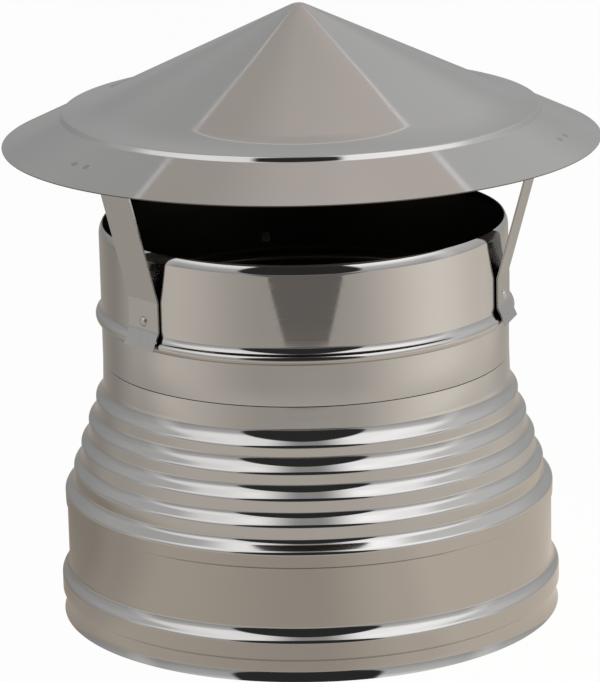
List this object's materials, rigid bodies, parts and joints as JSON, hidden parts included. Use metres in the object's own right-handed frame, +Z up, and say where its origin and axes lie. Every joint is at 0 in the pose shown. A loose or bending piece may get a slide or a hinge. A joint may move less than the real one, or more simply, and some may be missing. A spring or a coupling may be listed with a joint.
{
  "type": "conical flue cap",
  "caption": "Conical rain hat held on flat riveted struts above a beaded flue collar, with a stepped flared base shell that slips over a twin-wall flue pipe.",
  "frame": {"origin": "on the flue axis, at the bottom edge of the base shell", "axes": "+Z up along the flue axis, -Y towards the picture's front"},
  "size_m": [0.3646, 0.3646, 0.3785],
  "materials": {
    "hat_sheet": "bright spun stainless sheet",
    "body_sheet": "bright rolled stainless sheet",
    "strut_strip": "bright stainless strip",
    "rivet_steel": "plain stainless blind rivet"
  },
  "bodies": {
    "root": {"hat": "hat_sheet", "strut_left": "strut_strip", "strut_right": "strut_strip", "strut_rear": "strut_strip", "strut_rivets": "rivet_steel", "flue_collar": "body_sheet", "base_shell": "body_sheet"}
  },
  "joints": []
}
